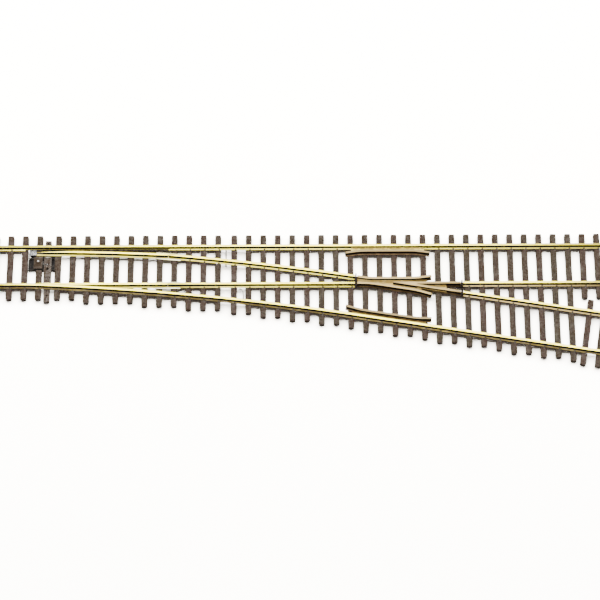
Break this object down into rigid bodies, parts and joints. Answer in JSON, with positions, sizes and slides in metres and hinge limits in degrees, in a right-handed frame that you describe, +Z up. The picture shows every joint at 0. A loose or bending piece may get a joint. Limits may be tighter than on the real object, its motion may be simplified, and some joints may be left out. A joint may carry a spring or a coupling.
{
  "type": "model turnout switch",
  "caption": "Model railway turnout, right hand: straight and curved route, hinged point rails on a sliding throwbar, cast frog, guard rails, moulded ties.",
  "frame": {"origin": "underside of a tie on the centre line of the straight track, about midway along the turnout", "axes": "+X along the straight track from the points to the frog, +Z up, the curved track leaves towards -Y"},
  "size_m": [0.2606, 0.0611, 0.0047],
  "materials": {
    "tie_plastic": "dark brown moulded plastic with wood grain",
    "dark_plastic": "near-black moulded plastic",
    "rail_metal": "pale yellow drawn rail, bright running surface, dark oxidised web",
    "frog_metal": "cast metal, tan top, near-black painted sides",
    "plate_metal": "grey stamped sheet",
    "wire_metal": "tinned wire and bright nickel silver"
  },
  "bodies": {
    "base": {"tie_strip_switch_end": "tie_plastic", "tie_strip_frog_end": "tie_plastic", "stock_rail_straight": "rail_metal", "stock_rail_diverging": "rail_metal", "closure_rail_straight": "rail_metal", "closure_rail_diverging": "rail_metal", "exit_rail_straight": "rail_metal", "exit_rail_diverging": "rail_metal", "heel_joiner_straight": "wire_metal", "heel_joiner_diverging": "wire_metal", "frog_casting": "frog_metal", "frog_toe_insulator": "dark_plastic", "frog_heel_insulator_straight": "dark_plastic", "frog_heel_insulator_diverging": "dark_plastic", "guard_rail_straight_side": "frog_metal", "guard_rail_diverging_side": "frog_metal", "guard_floor_straight_side": "frog_metal", "guard_floor_diverging_side": "frog_metal", "spring_housing": "dark_plastic", "spring_post": "wire_metal", "spring_cover": "tie_plastic", "point_contact_plate": "plate_metal", "jumper_wire_straight_side": "wire_metal", "jumper_wire_diverging_side": "wire_metal"},
    "throwbar": {"throwbar": "tie_plastic"},
    "straight_point": {"point_rail_straight": "rail_metal", "point_link_straight": "plate_metal"},
    "diverging_point": {"point_rail_diverging": "rail_metal", "point_link_diverging": "plate_metal"},
    "spring": {"over_centre_spring": "wire_metal"}
  },
  "joints": [
    {"name": "throwbar_slide", "type": "slide", "parent": "base", "child": "throwbar", "axis": [0, 1, 0], "range_m": [0, 0.002]},
    {"name": "straight_point_heel", "type": "hinge", "parent": "base", "child": "straight_point", "pos_m": [-0.052, -0.00871, 0.0021], "axis": [0, 0, 1], "range_deg": [-2.3, 0.1]},
    {"name": "diverging_point_heel", "type": "hinge", "parent": "base", "child": "diverging_point", "pos_m": [-0.052, 0.00465, 0.0021], "axis": [0, 0, 1], "range_deg": [-2.3, 0.1]},
    {"name": "spring_swing", "type": "hinge", "parent": "base", "child": "spring", "pos_m": [-0.1067, 0.0026, 0.00175], "axis": [0, 0, 1], "range_deg": [-0.5, 29]}
  ],
  "couplings": [
    {"joint": "straight_point_heel", "follows": "throwbar_slide", "rad_per_m": -19.704},
    {"joint": "diverging_point_heel", "follows": "throwbar_slide", "rad_per_m": -19.704},
    {"joint": "spring_swing", "follows": "throwbar_slide", "rad_per_m": 248}
  ]
}
